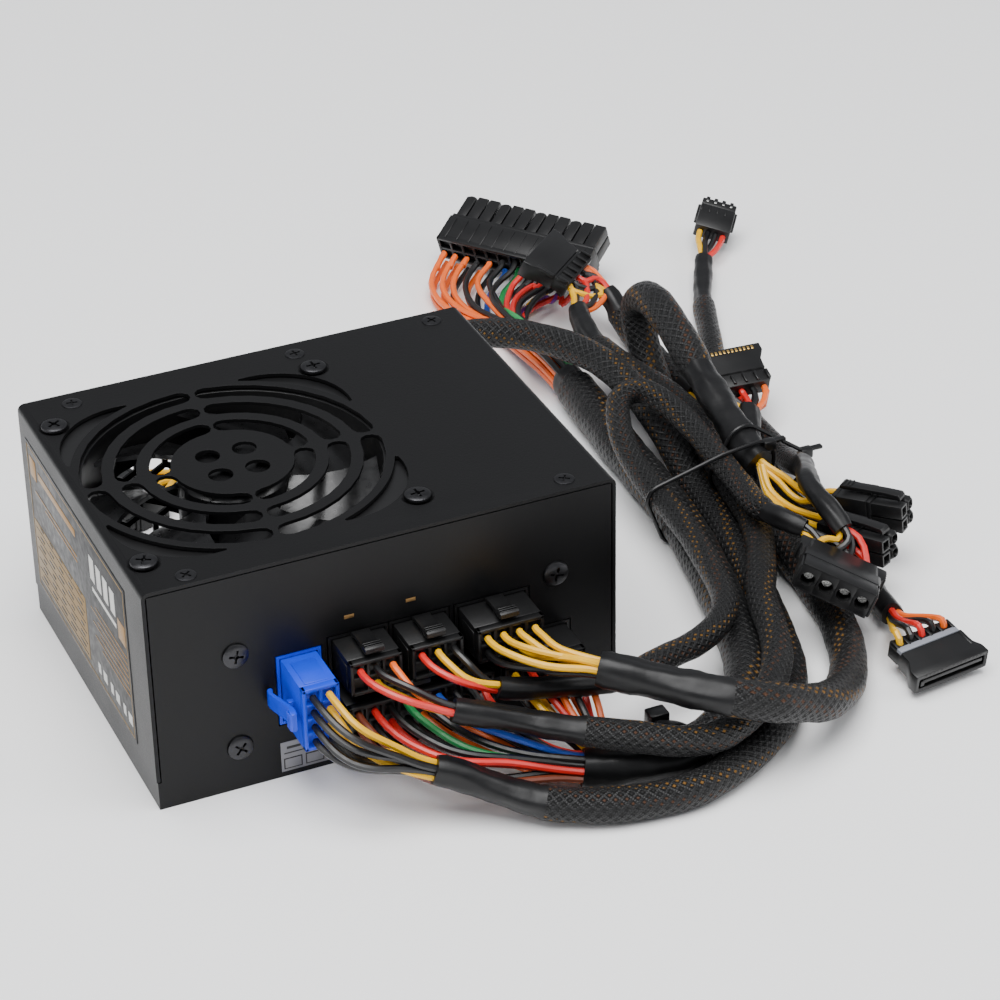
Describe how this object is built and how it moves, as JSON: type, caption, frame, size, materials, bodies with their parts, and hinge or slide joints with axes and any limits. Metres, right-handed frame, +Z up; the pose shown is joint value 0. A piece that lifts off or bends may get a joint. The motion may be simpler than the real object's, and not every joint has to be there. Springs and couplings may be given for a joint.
{
  "type": "modular computer power supply unit",
  "caption": "Compact modular computer power supply: black steel casing with a round fan grille, rear mains inlet and rocker switch, and sleeved output leads plugged into its front panel.",
  "frame": {"origin": "middle of the casing's bottom face", "axes": "+X to the right along the connector panel as it is faced, +Y from the connector panel to the rear panel, +Z up through the fan grille"},
  "size_m": [0.2708, 0.3024, 0.0636],
  "materials": {
    "coated_steel": "fine satin black powder coat",
    "screw_steel": "black oxide",
    "black_plastic": "satin moulded nylon",
    "blue_plastic": "satin moulded nylon",
    "fan_plastic": "glossy moulding",
    "board": "solder resist on glass fibre",
    "film": "smooth film",
    "aluminium": "extruded",
    "ferrite": "sintered ferrite with tape",
    "copper": "enamelled winding",
    "capacitor_sleeve": "shrunk sleeve",
    "epoxy": "moulded epoxy",
    "sleeving": "braided polyester sleeving"
  },
  "bodies": {
    "casing": {"ac_inlet": "black_plastic", "bridge_rectifier": "epoxy", "bulk_capacitor": "capacitor_sleeve", "chassis_tray": "coated_steel", "cpu_branch_lead": "sleeving", "cpu_connector_1": "black_plastic", "cpu_connector_2": "black_plastic", "cpu_lead": "sleeving", "cpu_plug": "black_plastic", "cpu_socket": "black_plastic", "drive_connector_1": "black_plastic", "drive_connector_2": "black_plastic", "drive_connector_3": "black_plastic", "drive_lead": "sleeving", "drive_lead_2": "sleeving", "drive_lead_3": "sleeving", "drive_plug": "black_plastic", "drive_socket": "black_plastic", "fan_frame": "fan_plastic", "fan_screw_1": "screw_steel", "fan_screw_2": "screw_steel", "fan_screw_3": "screw_steel", "fan_screw_4": "screw_steel", "fan_stator": "copper", "filter_choke": "ferrite", "floppy_connector": "black_plastic", "graphics_connector": "black_plastic", "graphics_lead": "sleeving", "graphics_plug": "blue_plastic", "graphics_socket": "black_plastic", "insulating_sheet": "film", "main_a_plug": "black_plastic", "main_a_socket": "black_plastic", "main_b_plug": "black_plastic", "main_b_socket": "black_plastic", "main_board_lead": "sleeving", "main_circuit_board": "board", "main_connector": "black_plastic", "main_transformer": "ferrite", "output_choke": "copper", "peripheral_connector": "black_plastic", "peripheral_lead": "sleeving", "peripheral_lead_2": "sleeving", "peripheral_plug": "black_plastic", "peripheral_socket": "black_plastic", "pfc_choke": "copper", "power_switch_body": "black_plastic", "primary_heatsink": "aluminium", "secondary_heatsink": "aluminium", "socket_board": "board", "standby_transformer": "ferrite", "top_cover": "coated_steel"},
    "fan_rotor": {"fan_rotor": "fan_plastic"},
    "power_switch_rocker": {"power_switch_rocker": "black_plastic"},
    "graphics_plug_latch": {"graphics_plug_latch": "blue_plastic"},
    "drive_plug_latch": {"drive_plug_latch": "black_plastic"},
    "peripheral_plug_latch": {"peripheral_plug_latch": "black_plastic"},
    "cpu_plug_latch": {"cpu_plug_latch": "black_plastic"},
    "main_a_plug_latch": {"main_a_plug_latch": "black_plastic"},
    "main_b_plug_latch": {"main_b_plug_latch": "black_plastic"}
  },
  "joints": [
    {"name": "fan_spin", "type": "hinge", "parent": "casing", "child": "fan_rotor", "pos_m": [-0.0214, -0.001, 0.0547], "axis": [0, 0, 1], "continuous": true},
    {"name": "power_switch_rock", "type": "hinge", "parent": "casing", "child": "power_switch_rocker", "pos_m": [0.038, 0.05, 0.045], "axis": [0, 0, 1], "range_deg": [0, 22]},
    {"name": "graphics_plug_latch_press", "type": "hinge", "parent": "casing", "child": "graphics_plug_latch", "pos_m": [-0.0302, -0.0577, 0.026], "axis": [0, 0, 1], "range_deg": [0, 5], "stiffness_Nm_per_rad": 0.05},
    {"name": "drive_plug_latch_press", "type": "hinge", "parent": "casing", "child": "drive_plug_latch", "pos_m": [-0.008, -0.0562, 0.0384], "axis": [1, 0, 0], "range_deg": [0, 5], "stiffness_Nm_per_rad": 0.05},
    {"name": "peripheral_plug_latch_press", "type": "hinge", "parent": "casing", "child": "peripheral_plug_latch", "pos_m": [0.0083, -0.0562, 0.0384], "axis": [1, 0, 0], "range_deg": [0, 5], "stiffness_Nm_per_rad": 0.05},
    {"name": "cpu_plug_latch_press", "type": "hinge", "parent": "casing", "child": "cpu_plug_latch", "pos_m": [0.028, -0.0562, 0.0384], "axis": [1, 0, 0], "range_deg": [0, 5], "stiffness_Nm_per_rad": 0.05},
    {"name": "main_a_plug_latch_press", "type": "hinge", "parent": "casing", "child": "main_a_plug_latch", "pos_m": [0.0038, -0.0562, 0.0254], "axis": [1, 0, 0], "range_deg": [0, 5], "stiffness_Nm_per_rad": 0.05},
    {"name": "main_b_plug_latch_press", "type": "hinge", "parent": "casing", "child": "main_b_plug_latch", "pos_m": [0.0372, -0.0562, 0.0254], "axis": [1, 0, 0], "range_deg": [0, 5], "stiffness_Nm_per_rad": 0.05}
  ]
}
